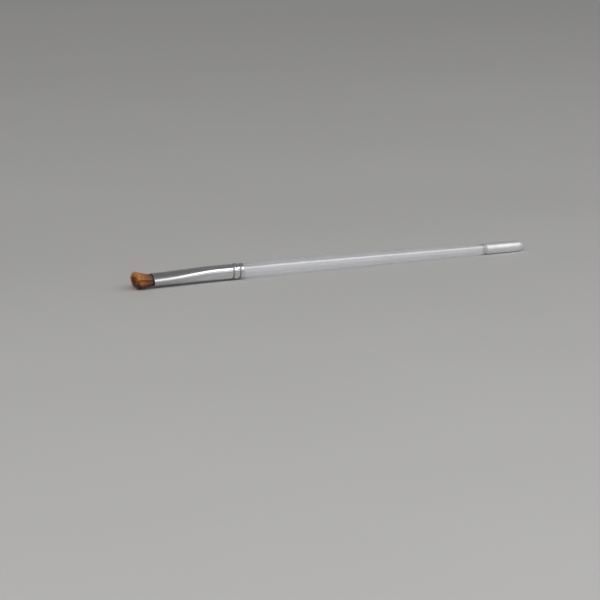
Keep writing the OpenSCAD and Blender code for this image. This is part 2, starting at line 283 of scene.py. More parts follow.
class Graph:
    """The node tree of a material or of the world, filled one step at a time."""

    def __init__(self, owner: bpy.types.Material | bpy.types.World) -> None:
        """Starts an empty tree with its output.

        Args:
            owner: The material or the world.
        """
        owner.use_nodes = True
        self.owner = owner
        self.tree = owner.node_tree
        self.tree.nodes.clear()
        self.output = self.add("OutputWorld" if isinstance(owner, bpy.types.World) else "OutputMaterial")

    def feed(self, socket: Socket, value: Any) -> None:
        """Links an output to an input, or writes a plain value into the input.

        Args:
            socket: The input.
            value: An output socket or a plain value.
        """
        if isinstance(value, Socket):
            self.tree.links.new(value, socket)
        else:
            socket.default_value = value

    def add(self, kind: str, inputs: Optional[dict[Any, Any]] = None, **settings: Any) -> bpy.types.Node:
        """Adds a node, sets its properties, and fills or links its inputs.

        Args:
            kind: The node's type name without its ShaderNode prefix.
            inputs: Values or output sockets by input name or number.
            settings: Properties of the node.

        Returns:
            The node.
        """
        node = self.tree.nodes.new("ShaderNode" + kind)
        for key, value in settings.items():
            setattr(node, key, value)
        for key, value in (inputs or {}).items():
            self.feed(node.inputs[key], value)
        return node

    def place(self, stretch: Pair) -> Socket:
        """Object coordinates, stretched along the brush and across it."""
        where = self.add("TexCoord").outputs["Object"]
        return self.add("Mapping", {"Vector": where, "Scale": (*stretch, stretch[1])}).outputs["Vector"]

    def noise(self, cells: Pair, detail: Detail) -> Socket:
        """Noise from 0 to 1, by its cells per metre along the brush and across it."""
        inputs = {"Vector": self.place(cells), "Scale": 1.0, "Detail": detail.value}
        return self.add("TexNoise", inputs).outputs[0]

    def value(self, label: str) -> Socket:
        """A value kept on the piece's points."""
        return self.add("Attribute", attribute_name=label).outputs["Fac"]

    def span(self, source: Socket, taken: Pair = WHOLE, given: Pair = WHOLE) -> Socket:
        """Maps a value from the range taken to the range given, held at the ends."""
        ends = {"From Min": taken[0], "From Max": taken[1], "To Min": given[0], "To Max": given[1]}
        return self.add("MapRange", {"Value": source, **ends}).outputs[0]

    def ramp(self, source: Socket, stops: Stops) -> Socket:
        """Colours at places along a value from 0 to 1, mixed in between.

        Args:
            source: The value.
            stops: Places and their colours, two or more in rising order.

        Returns:
            The colour.
        """
        node = self.add("ValToRGB", {"Fac": source})
        elements = node.color_ramp.elements
        for where, _ in stops[2:]:
            elements.new(where)
        for element, (where, colour) in zip(elements, stops):
            element.position = where
            element.color = (*colour, 1.0)
        return node.outputs["Color"]

    def mix(self, share: Any, first: Any, second: Any, blend: Blend = Blend.MIX) -> Socket:
        """Joins two colours by a share.

        Args:
            share: Share of the second colour, as a number or a socket.
            first: A colour or a socket.
            second: A colour or a socket.
            blend: The way of joining.

        Returns:
            The joined colour.
        """
        colours = [c if isinstance(c, Socket) else (*c, 1.0) for c in (first, second)]
        # The node's colour inputs are numbers 6 and 7, after those for numbers and vectors.
        inputs = {0: share, 6: colours[0], 7: colours[1]}
        return self.add("Mix", inputs, data_type="RGBA", blend_type=blend.value).outputs[2]

    def tint(self, colour: Socket, by: Socket) -> Socket:
        """Multiplies one colour by another."""
        return self.mix(1.0, colour, by, Blend.MULTIPLY)

    def plus(self, first: Socket, second: Socket) -> Socket:
        """The sum of two numbers."""
        return self.add("Math", {0: first, 1: second}, operation="ADD").outputs[0]

    def times(self, first: Socket, second: Socket) -> Socket:
        """The product of two numbers."""
        return self.add("Math", {0: first, 1: second}, operation="MULTIPLY").outputs[0]

    def bump(self, height: Socket, distance: float, under: Optional[Socket] = None) -> Socket:
        """A normal from a height over a distance in metres, laid on the normal under it if given."""
        inputs = {"Height": height, "Distance": distance}
        return self.add("Bump", inputs if under is None else {**inputs, "Normal": under}).outputs["Normal"]

    def surface(self, **inputs: Any) -> bpy.types.Node:
        """Adds the Principled shader and shows it.

        Args:
            inputs: Values or sockets, by input names in small letters joined by underscores.

        Returns:
            The shader.
        """
        shader = self.add("BsdfPrincipled")
        names = {name.lower().replace(" ", "_"): name for name in shader.inputs.keys()}
        for key, value in inputs.items():
            self.feed(shader.inputs[names[key]], value)
        self.show(shader.outputs[0])
        return shader

    def show(self, socket: Socket) -> None:
        """Makes a shader the surface that the tree's owner shows."""
        self.feed(self.output.inputs["Surface"], socket)


class Finish(Protocol):
    """Anything that makes a material for a piece."""

    def make(self) -> bpy.types.Material:
        """Makes the finish as a new material."""


@dataclass(frozen=True)
class HairFinish:
    """Sable-brown hair: near-black roots, partly painted shade at the mouth and partly paint residue, orange
    tips at the rim, and a dark maroon heart that is partly painted shade.
    """

    rim_colours: Stops = (
        # Near-black roots at the mouth: painted shade of the mouth, together with paint residue.
        (0.04, (0.034, 0.017, 0.017)),
        (0.15, (0.205, 0.100, 0.078)),
        (0.52, (0.480, 0.190, 0.066)),
        (0.92, (0.920, 0.430, 0.135)),
    )
    # The heart's colours: the hair's darker tone together with painted shade inside the tuft.
    heart_tone_and_shade: Stops = ((0.0, (0.040, 0.017, 0.015)), (1.0, (0.270, 0.088, 0.056)))
    heart_edge: Pair = (0.54, 0.92)
    edge_mottle: Pair = (-0.2, 0.2)
    red_lock: Colour = (1.12, 0.82, 0.74)
    tan_lock: Colour = (0.96, 1.12, 1.18)
    hair_tone: Pair = (0.66, 1.26)
    lock_tone: Pair = (0.40, 1.48)
    grain_cells: Pair = (2600.0, 9000.0)
    grain_tone: Pair = (0.85, 1.12)
    dull: Pair = (0.42, 0.58)
    shine: float = 0.32
    sheen: float = 0.12
    sheen_spread: float = 0.4

    def make(self) -> bpy.types.Material:
        """Colour runs from root to tip, differs from rim to heart, and varies by hair and by lock.

        Returns:
            The material.
        """
        g = Graph(bpy.data.materials.new("hair_sable"))
        along, tone, lock = g.value("along"), g.value("tone"), g.value("lock")
        rim = g.span(g.plus(g.value("rim"), g.span(lock, given=self.edge_mottle)), self.heart_edge)
        colour = g.mix(rim, g.ramp(along, self.heart_tone_and_shade), g.ramp(along, self.rim_colours))
        grain = g.span(g.noise(self.grain_cells, Detail.GRAINY), CLOUDS, self.grain_tone)
        strand = g.times(g.span(tone, given=self.hair_tone), g.span(lock, given=self.lock_tone))
        shade = g.times(strand, grain)
        grey = g.add("CombineColor", {0: shade, 1: shade, 2: shade}).outputs[0]
        g.surface(
            base_color=g.tint(g.tint(colour, grey), g.mix(lock, self.red_lock, self.tan_lock)),
            roughness=g.span(tone, given=self.dull),
            specular_ior_level=self.shine,
            sheen_weight=self.sheen,
            sheen_roughness=self.sheen_spread,
        )
        return g.owner


@dataclass(frozen=True)
class PlateFinish:
    """Plating on a drawn tube, polished or satin, with faint draw lines, smudges, painted shade in the
    grooves, and darker plating toward the mouth.
    """

    name: str
    bright: Colour
    worn: Colour
    smooth: float
    rough: float
    line_depth: float
    wave_depth: float
    # Painted shade in the grooves: the share of the dark tone that they are mixed to.
    painted_dark: float = 0.0
    # How far the plating grows darker and duller toward the mouth.
    mouth_dark: float = 0.0
    # The dark tone of the painted groove shade and of the darkening toward the mouth, and the roughness that
    # it adds.
    dark_tone: Colour = (0.10, 0.10, 0.11)
    dark_rough: float = 0.6
    groove_span: Pair = (0.25, 0.85)
    line_cells: Pair = (60.0, 5200.0)
    wave_cells: Pair = (90.0, 240.0)
    smudge_cells: Pair = (160.0, 420.0)
    smudge_worn: Pair = (0.35, 0.75)
    smudge_rough: Pair = (0.30, 0.75)
    smudge_wear: float = 0.8
    scratch_cells: Pair = (420.0, 9000.0)
    scratch_span: Pair = (0.66, 0.74)
    scratch_wear: float = 0.35
    scratch_rough: float = 0.10

    def make(self) -> bpy.types.Material:
        """Draw lines run along, soft dents bend the reflections, smudges dull them, painted shade darkens
        and dulls the grooves, and the plating grows darker and duller toward the mouth.

        Returns:
            The material.
        """
        g = Graph(bpy.data.materials.new(self.name))
        smudge = g.noise(self.smudge_cells, Detail.CLOUDY)
        scratch = g.span(g.noise(self.scratch_cells, Detail.SMOOTH), self.scratch_span)
        wear = g.plus(
            g.span(smudge, self.smudge_worn, (0.0, self.smudge_wear)),
            g.span(scratch, given=(0.0, self.scratch_wear)),
        )
        # Painted shade darkens the grooves, and the plating also darkens toward the mouth.
        painted_dark = g.plus(
            g.span(g.value("groove"), self.groove_span, (0.0, self.painted_dark)),
            g.span(g.value("mouth"), given=(0.0, self.mouth_dark)),
        )
        dull = g.plus(
            g.span(smudge, self.smudge_rough, (self.smooth, self.rough)),
            g.span(scratch, given=(0.0, self.scratch_rough)),
        )
        waves = g.bump(g.noise(self.wave_cells, Detail.SMOOTH), self.wave_depth)
        g.surface(
            base_color=g.mix(painted_dark, g.mix(wear, self.bright, self.worn), self.dark_tone),
            metallic=1.0,
            roughness=g.plus(dull, g.span(painted_dark, given=(0.0, self.dark_rough))),
            normal=g.bump(g.noise(self.line_cells, Detail.FINE), self.line_depth, waves),
        )
        return g.owner


@dataclass(frozen=True)
class AcrylicFinish:
    """Clear turned acrylic with a soft lavender haze, fine wear lines and a few specks."""

    clear: Colour = (0.97, 0.975, 1.0)
    hazed: Colour = (0.90, 0.905, 0.945)
    shadow: Colour = (0.80, 0.81, 0.84)
    clarity: float = 0.86
    gloss: float = 0.95
    ior: float = 1.49
    lacquer: float = 1.0
    lacquer_ior: float = 1.95
    lacquer_rough: float = 0.12
    line_cells: Pair = (90.0, 3600.0)
    line_depth: float = 0.0000006
    haze_cells: Pair = (60.0, 260.0)
    haze_span: Pair = (0.35, 0.70)
    haze_tint: float = 0.5
    rough_span: Pair = (0.30, 0.75)
    rough: Pair = (0.05, 0.08)
    speck_cells: Pair = (700.0, 6500.0)
    speck_span: Pair = (0.64, 0.74)
    speck_tint: float = 0.1
    speck_rough: float = 0.06

    def make(self) -> bpy.types.Material:
        """Most light passes and bends, the rest is spread; lamps shine through to what lies behind.

        Returns:
            The material.
        """
        g = Graph(bpy.data.materials.new("acrylic_clear"))
        haze = g.noise(self.haze_cells, Detail.CLOUDY)
        specks = g.span(g.noise(self.speck_cells, Detail.SMOOTH), self.speck_span)
        dull = g.plus(
            g.span(haze, self.rough_span, self.rough),
            g.span(specks, given=(0.0, self.speck_rough)),
        )
        milky = g.plus(
            g.span(haze, self.haze_span, (0.0, self.haze_tint)),
            g.span(specks, given=(0.0, self.speck_tint)),
        )
        body = g.surface(
            base_color=g.mix(milky, self.clear, self.hazed),
            roughness=dull,
            ior=self.ior,
            specular_ior_level=self.gloss,
            coat_weight=self.lacquer,
            coat_ior=self.lacquer_ior,
            coat_roughness=self.lacquer_rough,
            transmission_weight=self.clarity,
            normal=g.bump(g.noise(self.line_cells, Detail.FINE), self.line_depth),
        )
        lamp = g.add("LightPath").outputs["Is Shadow Ray"]
        through = g.add("BsdfTransparent", {"Color": (*self.shadow, 1.0)}).outputs[0]
        g.show(g.add("MixShader", {0: lamp, 1: body.outputs[0], 2: through}).outputs[0])
        return g.owner


@dataclass(frozen=True)
class GlueFinish:
    """Set glue or resin: a coloured gloss with clouds, and clear where it lets light pass."""

    name: str
    light: Colour
    dark: Colour
    clarity: float
    smooth: float
    clouded: float = 0.15
    ior: float = 1.5
    cloud_cells: Pair = (900.0, 900.0)
    ripple_cells: Pair = (2200.0, 2200.0)
    ripple_depth: float = 0.00002

    def make(self) -> bpy.types.Material:
        """Clouds mix the two colours, and small ripples break the gloss.

        Returns:
            The material.
        """
        g = Graph(bpy.data.materials.new(self.name))
        clouds = g.noise(self.cloud_cells, Detail.CLOUDY)
        g.surface(
            base_color=g.mix(g.span(clouds, CLOUDS), self.light, self.dark),
            roughness=g.span(clouds, CLOUDS, (self.smooth, self.smooth + self.clouded)),
            transmission_weight=self.clarity,
            ior=self.ior,
            normal=g.bump(g.noise(self.ripple_cells, Detail.FINE), self.ripple_depth),
        )
        return g.owner


@dataclass(frozen=True)
class ThreadFinish:
    """Waxed binding thread, with its twist as slanting ridges."""

    light: Colour = (0.62, 0.55, 0.42)
    dark: Colour = (0.40, 0.34, 0.24)
    rough: float = 0.62
    twist_slant: Pair = (1.0, 1.4)
    twist_cells: float = 900.0
    twist_stray: float = 1.5
    twist_depth: float = 0.00003
    fibre_cells: Pair = (5200.0, 5200.0)

    def make(self) -> bpy.types.Material:
        """A wave across the thread stands for the twist, and noise for loose fibre.

        Returns:
            The material.
        """
        g = Graph(bpy.data.materials.new("thread_waxed"))
        where = g.place(self.twist_slant)
        wave = {"Vector": where, "Scale": self.twist_cells, "Distortion": self.twist_stray}
        twist = g.add("TexWave", wave).outputs["Fac"]
        fibre = g.noise(self.fibre_cells, Detail.CLOUDY)
        g.surface(
            base_color=g.mix(g.times(twist, fibre), self.dark, self.light),
            roughness=self.rough,
            normal=g.bump(twist, self.twist_depth),
        )
        return g.owner


# Pieces


def dress(surface: Surface, name: str, node: str, finish: Finish) -> None:
    """Makes a piece with its finish, its body, and the node that it stands for.

    Args:
        surface: The piece's shape.
        name: The piece's name.
        node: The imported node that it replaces.
        finish: Its finish.
    """
    piece = surface.piece(name)
    piece.data.materials.append(finish.make())
    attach(piece, BODY)
    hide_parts(node)
    LOG.info("%s: %d points, %d faces", piece.name, len(piece.data.vertices), len(piece.data.polygons))


@dataclass(frozen=True)
class Ferrule:
    """Drawn tube, round and crimped at the back and pressed to an oval mouth at the same girth."""

    axis: BrushAxis
    length: float = 43.4
    diameter: float = 6.9
    mouth_thick: float = 5.2
    press_shift: float = 0.7
    wall: float = 0.3
    press_len: float = 31.2
    groove_back: Pair = (5.1, 1.85)
    groove_r: float = 0.5
    groove_depth: float = 0.36
    bead_half: float = 1.05
    bead_height: float = 0.22
    lip_r: float = 0.42
    lip_rise: float = 0.16
    bend_soft: float = 0.06
    bend_step: float = 0.01
    bend_steps: int = 20
    past_end: float = 1.0
    edge: float = 0.09
    inner_edge: float = 0.06
    press_rows: int = 70
    crimp_rows: int = 260
    bore_rows: int = 40
    columns: int = 144
    finish: PlateFinish = PlateFinish(
        "plated_tube",
        bright=(0.86, 0.86, 0.876),
        worn=(0.71, 0.71, 0.725),
        smooth=0.10,
        rough=0.16,
        line_depth=0.000003,
        wave_depth=0.00002,
        # Painted shade in the crimp grooves.
        painted_dark=0.62,
        # Darker and duller plating toward the mouth.
        mouth_dark=0.38,
    )

    def halves(self, along: np.ndarray) -> tuple[np.ndarray, np.ndarray]:
        """Outer half thickness and half width at distances from the mouth.

        The thickness eases from the pressed mouth to the round tube. The width is found by
        halving, so that the oval's girth stays that of the round tube. For halves a and b the
        girth is close to pi times (3(a + b) less the root of (3a + b)(a + 3b)).

        Args:
            along: Distances from the mouth.

        Returns:
            Half thickness and half width.
        """
        r = self.diameter / 2
        thin = self.mouth_thick / 2 + (r - self.mouth_thick / 2) * ease(along / self.press_len)
        low, high = np.full_like(thin, r), np.full_like(thin, 2 * r)
        for _ in range(HALVINGS):
            wide = (low + high) / 2
            girth = np.pi * (3 * (wide + thin) - np.sqrt((3 * wide + thin) * (wide + 3 * thin)))
            large = girth > 2 * np.pi * r
            low, high = np.where(large, low, wide), np.where(large, wide, high)
        return thin, (low + high) / 2

    def centre(self, along: np.ndarray) -> np.ndarray:
        """Shift of the section's middle toward its lower side, since the press works from above."""
        return self.press_shift * (1.0 - ease(along / self.press_len))

    def crimp(self, along: np.ndarray) -> np.ndarray:
        """Rise of the outer wall: two round grooves, a bead between them and a rolled lip.

        Each is the part of a circle that stands past the tube's line, and the sum is softened
        by a short bell-shaped average, as metal bends.

        Args:
            along: Distances from the mouth.

        Returns:
            Rise at each distance, negative in the grooves.
        """

        def cap(offset: np.ndarray, r: float, height: float) -> np.ndarray:
            """Height of a circle's cap over its chord."""
            return np.maximum(np.sqrt(np.maximum(r * r - offset * offset, 0.0)) - (r - height), 0.0)

        fine = np.arange(self.press_len, self.length + self.past_end, self.bend_step)
        grooves = [self.length - back for back in self.groove_back]
        bead_r = (self.bead_half**2 + self.bead_height**2) / (2 * self.bead_height)
        rise = cap(fine - sum(grooves) / 2, bead_r, self.bead_height)
        rise += cap(fine - (self.length - self.lip_r), self.lip_r, self.lip_rise)
        rise -= sum(cap(fine - at, self.groove_r, self.groove_depth) for at in grooves)
        steps = np.arange(-self.bend_steps, self.bend_steps + 1)
        bell = np.exp(-0.5 * (steps * self.bend_step / self.bend_soft) ** 2)
        return np.interp(along, fine, np.convolve(rise, bell / bell.sum(), mode="same"), left=0.0)

    def profile(self) -> np.ndarray:
        """Half section of the wall: out over the rim, back along the outside, home along the inside.

        Returns:
            Rows of offset from the tube's outer line and distance along.
        """
        edge, roll = self.edge, self.inner_edge
        rim = arc((-edge, edge), edge, Quarter.FRONT_OUTER, EDGE_ROWS)
        press = np.linspace(edge, self.press_len, self.press_rows + 1)[1:]
        worked = np.linspace(self.press_len, self.length - edge, self.crimp_rows + 1)[1:]
        along = np.concatenate([press, worked])
        outer = np.stack([self.crimp(along), along], -1)
        back = arc((outer[-1, 0] - edge, self.length - edge), edge, Quarter.BACK_OUTER, EDGE_ROWS)[1:]
        bore = np.linspace(self.press_len, 2 * roll, self.bore_rows)
        along = np.concatenate([[self.length], worked[::-1], bore])
        inner = np.stack([np.minimum(self.crimp(along), 0.0) - self.wall, along], -1)
        mouth = arc((roll - self.wall, roll), roll, Quarter.FRONT_INNER, ROLL_ROWS)
        return np.concatenate([rim, outer, back, inner, mouth])

    def build(self) -> Surface:
        """Carries the wall's half section round the oval of each distance.

        A point stands off the section's middle by half thickness times cosine and half width
        times sine, each with the wall's offset added.

        Returns:
            The tube's closed surface, with values for the grooves and the pressed mouth.
        """
        rise, along = self.profile().T
        thin, wide = self.halves(along)
        turn = np.linspace(0.0, 2.0 * np.pi, self.columns, endpoint=False)
        across = self.centre(along[:, None]) + (thin + rise)[:, None] * np.cos(turn)
        over = (wide + rise)[:, None] * np.sin(turn)
        tube = loft(self.axis.place(across, over, along[:, None]))
        # Share of the groove depth, which the finish paints as shade.
        depth = np.clip(-self.crimp(along) / self.groove_depth, 0.0, 1.0)
        tube.values["groove"] = np.repeat(depth, self.columns)
        tube.values["mouth"] = np.repeat(1.0 - ease(along / self.press_len), self.columns)
        return tube

    def dress(self) -> None:
        """Builds the ferrule in polished plating."""
        dress(self.build(), "ferrule_plated", "ferrule", self.finish)


@dataclass(frozen=True)
class HairTuft:
    """Short splayed tuft: fine hairs that leave the oval mouth, spread, and gather in locks.

    A hair has its place in a unit disc, whose first way points down and second to the far side.
    """

    ferrule: Ferrule
    hairs: int = 4800
    locks: int = 60
    fill: float = 0.985
    hair_shake: float = 0.006
    lock_shake: float = 0.03
    gap: float = 0.1
    inside: float = 1.5
    out: float = 11.2
    dome: float = 1.9
    slant_near: float = 1.7
    slant_down: float = 1.0
    uneven: float = 0.9
    uneven_power: float = 1.6
    lock_uneven: float = 0.5
    spread_up: float = 2.1
    spread_down: float = 3.0
    spread_wide: float = 1.45
    flare: float = 1.25
    lift: float = 0.4
    gather: float = 0.50
    gather_span: Pair = (0.55, 1.15)
    gather_power: float = 1.2
    sway: float = 0.30
    strays: float = 0.08
    stray_sway: float = 3.2
    proud: float = 0.2
    hair_r: float = 0.05
    tip_taper: float = 0.65
    rings: int = 7
    # Middle of the dark heart in the disc, set toward the lower side; its darkness is partly painted shade.
    heart: Pair = (0.26, 0.0)
    cells: int = 70
    cell_edge: float = 0.1
    corner_uv: Triple = (0.2, 0.5, 0.8)
    tip_uv: float = 0.5
    finish: HairFinish = HairFinish()

    def spiral(self, count: int) -> np.ndarray:
        """Points spread evenly in the unit disc, by the golden angle and a root of the count.

        Args:
            count: Number of points.

        Returns:
            Rows of the two ways.
        """
        number = np.arange(count) + 0.5
        turn = number * np.pi * (3.0 - math.sqrt(5.0))
        reach = np.sqrt(number / count)
        return np.stack([reach * np.cos(turn), reach * np.sin(turn)], -1)

    def roots(self, rng: np.random.Generator) -> tuple[np.ndarray, np.ndarray, np.ndarray]:
        """Places of the hairs and of the locks, as even spirals shaken a little.

        A hair belongs to the lock whose middle is nearest.

        Args:
            rng: Source of chance.

        Returns:
            Places of the hairs, places of the locks' middles, and each hair's lock.
        """
        disc = self.spiral(self.hairs) * self.fill
        disc += rng.normal(0.0, self.hair_shake, disc.shape)
        middle = self.spiral(self.locks) + rng.normal(0.0, self.lock_shake, (self.locks, 2))
        lock = np.argmin(((disc[:, None] - middle[None]) ** 2).sum(-1), 1)
        return disc, middle, lock

    def lengths(self, rng: np.random.Generator, disc: np.ndarray, lock: np.ndarray) -> np.ndarray:
        """How far each hair stands out of the mouth.

        That is the full length, less chance by hair and by lock, less a dome that falls with the
        square of the distance from the middle, less slants to the near side and to the bottom.

        Args:
            rng: Source of chance.
            disc: Places of the hairs.
            lock: Each hair's lock.

        Returns:
            Length of each hair.
        """
        rim = np.minimum(np.hypot(disc[:, 0], disc[:, 1]), 1.0)
        short = self.uneven * rng.random(self.hairs) ** self.uneven_power
        short += self.lock_uneven * rng.random(self.locks)[lock]
        slanted = self.slant_near * (1.0 - disc[:, 1]) / 2 + self.slant_down * (1.0 + disc[:, 0]) / 2
        return self.out - short - self.dome * rim**2 - slanted

    def lines(
        self,
        rng: np.random.Generator,
        disc: np.ndarray,
        middle: np.ndarray,
        length: np.ndarray,
    ) -> tuple[np.ndarray, np.ndarray]:
        """Middle lines of the hairs, from inside the ferrule to their tips.

        A hair keeps its place in the disc while the oval that the disc is stretched to grows by
        a power of the distance out. It is drawn toward the middle of its lock, and bent aside
        by the square of the share of its length. Strays bend further. The lines are held in the
        packed tuft's box, apart from the little that may stand proud.

        Args:
            rng: Source of chance.
            disc: Places of the hairs.
            middle: For each hair, the place of its lock's middle.
            length: Length of each hair.

        Returns:
            Points of the lines in metres, and the share of the free length at each.
        """
        share = np.linspace(0.0, 1.0, self.rings + 1)
        out = -self.inside + share * (length + self.inside)[:, None]
        free = np.clip(out, 0.0, None)
        grown, reach = free / length[:, None], free / self.out
        flow = reach**self.flare
        pull = (self.gather * rng.uniform(*self.gather_span, self.hairs))[:, None] * grown**self.gather_power
        place = disc[:, None] + pull[..., None] * (middle - disc)[:, None]
        bend = rng.normal(0.0, self.sway, (self.hairs, 2))
        bend *= np.where(rng.random(self.hairs) < self.strays, self.stray_sway, 1.0)[:, None]
        mouth = (float(half[0]) for half in self.ferrule.halves(np.zeros(1)))
        thin, wide = (half - self.ferrule.wall - self.gap for half in mouth)
        spread = np.where(place[..., 0] > 0.0, self.spread_down, self.spread_up)
        across = (thin + spread * flow) * place[..., 0] + bend[:, :1] * grown**2
        across += self.ferrule.centre(-out) * (1.0 - self.lift * reach)
        over = (wide + self.spread_wide * flow) * place[..., 1] + bend[:, 1:] * grown**2
        low, high = (np.array(corner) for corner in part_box("hair_tuft"))
        lowest = low - MM * np.array([self.proud, self.proud, -self.hair_r])
        return np.clip(self.ferrule.axis.place(across, over, -out), lowest, high + MM * self.proud), grown

    def faces(self) -> tuple[np.ndarray, np.ndarray]:
        """Faces of one hair: bands between its rings, a fan at the tip and a foot.

        Returns:
            Point numbers of the quads and of the triangles.
        """
        index = np.arange(self.rings * CORNERS).reshape(self.rings, CORNERS)
        last = index[-1]
        tip = np.stack([last, np.roll(last, -1), np.full(CORNERS, index.size)], -1)
        return bands(index), np.concatenate([tip, index[:1, ::-1]])

    def unwrap(self, along: np.ndarray) -> np.ndarray:
        """Lays each hair into a cell of its own on a square map, from root to tip.

        Args:
            along: Share of the free length at each hair's points.

        Returns:
            A place on the map for each point.
        """
        number = np.arange(self.hairs)[:, None]
        side = np.append(np.tile(self.corner_uv, self.rings), self.tip_uv)
        room = 1.0 - 2.0 * self.cell_edge
        u = (number % self.cells + self.cell_edge + room * side) / self.cells
        v = (number // self.cells + self.cell_edge + room * along) / self.cells
        return np.stack([u, v], -1).reshape(-1, 2)

    def build(self) -> Surface:
        """Sweeps a tapering triangle along every hair at once.

        The triangle's reach is the hair's radius, less a part of it that grows with the fourth
        power of the share of the length. The tip is one point.

        Returns:
            The tuft's surface, with values for the way along, the rim, the tone and the lock.
        """
        rng = np.random.default_rng(SEED)
        disc, middle, lock = self.roots(rng)
        length = self.lengths(rng, disc, lock)
        centre, grown = self.lines(rng, disc, middle[lock], length)
        radius = self.hair_r * (1.0 - self.tip_taper * grown[:, :-1] ** 4)
        corner = np.arange(CORNERS) * 2.0 * np.pi / CORNERS
        turn = rng.uniform(0.0, 2.0 * np.pi, self.hairs)[:, None, None] + corner
        place = self.ferrule.axis.place
        around = place(np.cos(turn), np.sin(turn), np.zeros(1)) - place(*np.zeros((3, 1)))
        body = centre[:, :-1, None] + radius[..., None, None] * around
        points = np.concatenate([body.reshape(self.hairs, -1, 3), centre[:, -1:]], 1)
        along = np.concatenate([np.repeat(grown[:, :-1], CORNERS, 1), grown[:, -1:]], 1)
        per_hair = along.shape[1]
        values = {
            "along": along,
            "rim": np.repeat(np.hypot(*(disc - self.heart).T), per_hair),
            "tone": np.repeat(rng.random(self.hairs), per_hair),
            "lock": np.repeat(rng.random(self.locks)[lock], per_hair),
        }
        first = per_hair * np.arange(self.hairs)[:, None, None]
        quads, tris = ((faces + first).reshape(-1, faces.shape[1]) for faces in self.faces())
        return Surface(points.reshape(-1, 3), quads, tris, values, self.unwrap(along)).outward()

    def dress(self) -> None:
        """Builds the tuft in sable-brown hair."""
        dress(self.build(), "hair_tuft_fine", "hair_tuft", self.finish)


@dataclass(frozen=True)
class EndCap:
    """Drawn cap with a rounded nose, on a neck of dark glue."""

    axis: BrushAxis
    start: float = 170.0
    length: float = 21.2
    diameter: float = 5.3
    wall: float = 0.35
    nose: float = 4.6
    edge: float = 0.1
    fit: float = 0.02
    film: float = 0.15
    spigot_short: float = 2.0
    neck_len: float = 0.9
    neck_rise: float = 0.12
    neck_dip: float = 0.07
    barrel_from: float = 0.4
    barrel_short: float = 0.1
    barrel_rows: int = 30
    hollow_rows: int = 24
    nose_rows: int = 44
    neck_rows: int = 15
    columns: int = 112
    metal: PlateFinish = PlateFinish(
        "bright_metal",
        bright=(0.88, 0.88, 0.895),
        worn=(0.76, 0.76, 0.775),
        smooth=0.52,
        rough=0.60,
        line_depth=0.000006,
        wave_depth=0.00001,
    )
    joint: GlueFinish = GlueFinish(
        "glue_dark", light=(0.54, 0.545, 0.55), dark=(0.42, 0.423, 0.427), clarity=0.0, smooth=0.32
    )

    @property
    def nose_at(self) -> float:
        """Distance at which the straight wall ends and the nose starts."""
        return self.start + self.length - self.nose

    @property
    def bore(self) -> float:
        """Radius inside the cap."""
        return self.diameter / 2 - self.wall

    @property
    def neck(self) -> float:
        """Radius of the dark neck."""
        return self.bore + self.neck_rise

    @property
    def spigot(self) -> Pair:
        """Radius of the handle's spigot and the distance of its end."""
        return self.bore - self.film, self.nose_at - self.spigot_short

    def rounded(self, radius: float, length: float, count: int) -> np.ndarray:
        """Quarter ellipse of the nose, from the straight wall to the axis.

        Args:
            radius: Radius at the straight wall.
            length: Reach of the nose along the axis.
            count: Number of points.

        Returns:
            Rows of radius and distance along, the last one on the axis.
        """
        turn = np.linspace(0.0, np.pi / 2, count)
        rows = np.stack([radius * np.cos(turn), self.nose_at + length * np.sin(turn)], -1)
        rows[-1, 0] = 0.0
        return rows

    def build(self) -> Surface:
        """Revolves the cap: from its hollow nose to the mouth, over the edge, and out to the tip.

        Returns:
            The cap's closed surface.
        """
        r, edge = self.diameter / 2, self.edge
        front = self.start + edge
        first, last = self.start + self.barrel_from, self.nose_at - self.barrel_short
        straight = np.linspace(first, last, self.barrel_rows)
        profile = [
            self.rounded(self.bore, self.nose - self.wall, self.hollow_rows)[::-1],
            arc((self.bore + edge, front), edge, Quarter.FRONT_INNER, ROLL_ROWS),
            arc((r - edge, front), edge, Quarter.FRONT_OUTER, EDGE_ROWS),
            np.stack([np.full_like(straight, r), straight], -1),
            self.rounded(r, self.nose, self.nose_rows),
        ]
        return self.axis.turned(np.concatenate(profile), self.columns)

    def glue(self) -> Surface:
        """Revolves the glue: a film over the spigot, and a neck that dips by half a sine wave.

        Returns:
            The glue's closed surface.
        """
        r, end = self.spigot
        back = self.start - self.neck_len
        inside = [[0.0, end + self.fit], [r + self.fit, end + self.fit], [r + self.fit, back]]
        share = np.linspace(0.0, 1.0, self.neck_rows)
        dip = self.neck_dip * np.sin(np.pi * share)
        neck = np.stack([self.neck - dip, back + share * (self.neck_len - self.fit)], -1)
        outside = [
            [self.bore - self.fit, self.start - self.fit],
            [self.bore - self.fit, end + self.film],
            [0.0, end + self.film],
        ]
        return self.axis.turned(np.concatenate([inside, neck, outside]), self.columns)

    def dress(self) -> None:
        """Builds the cap in satin-bright metal and its neck in dark glue."""
        dress(self.build(), "end_cap_bright", "end_cap", self.metal)
        dress(self.glue(), "neck_glue", "cap_adhesive", self.joint)


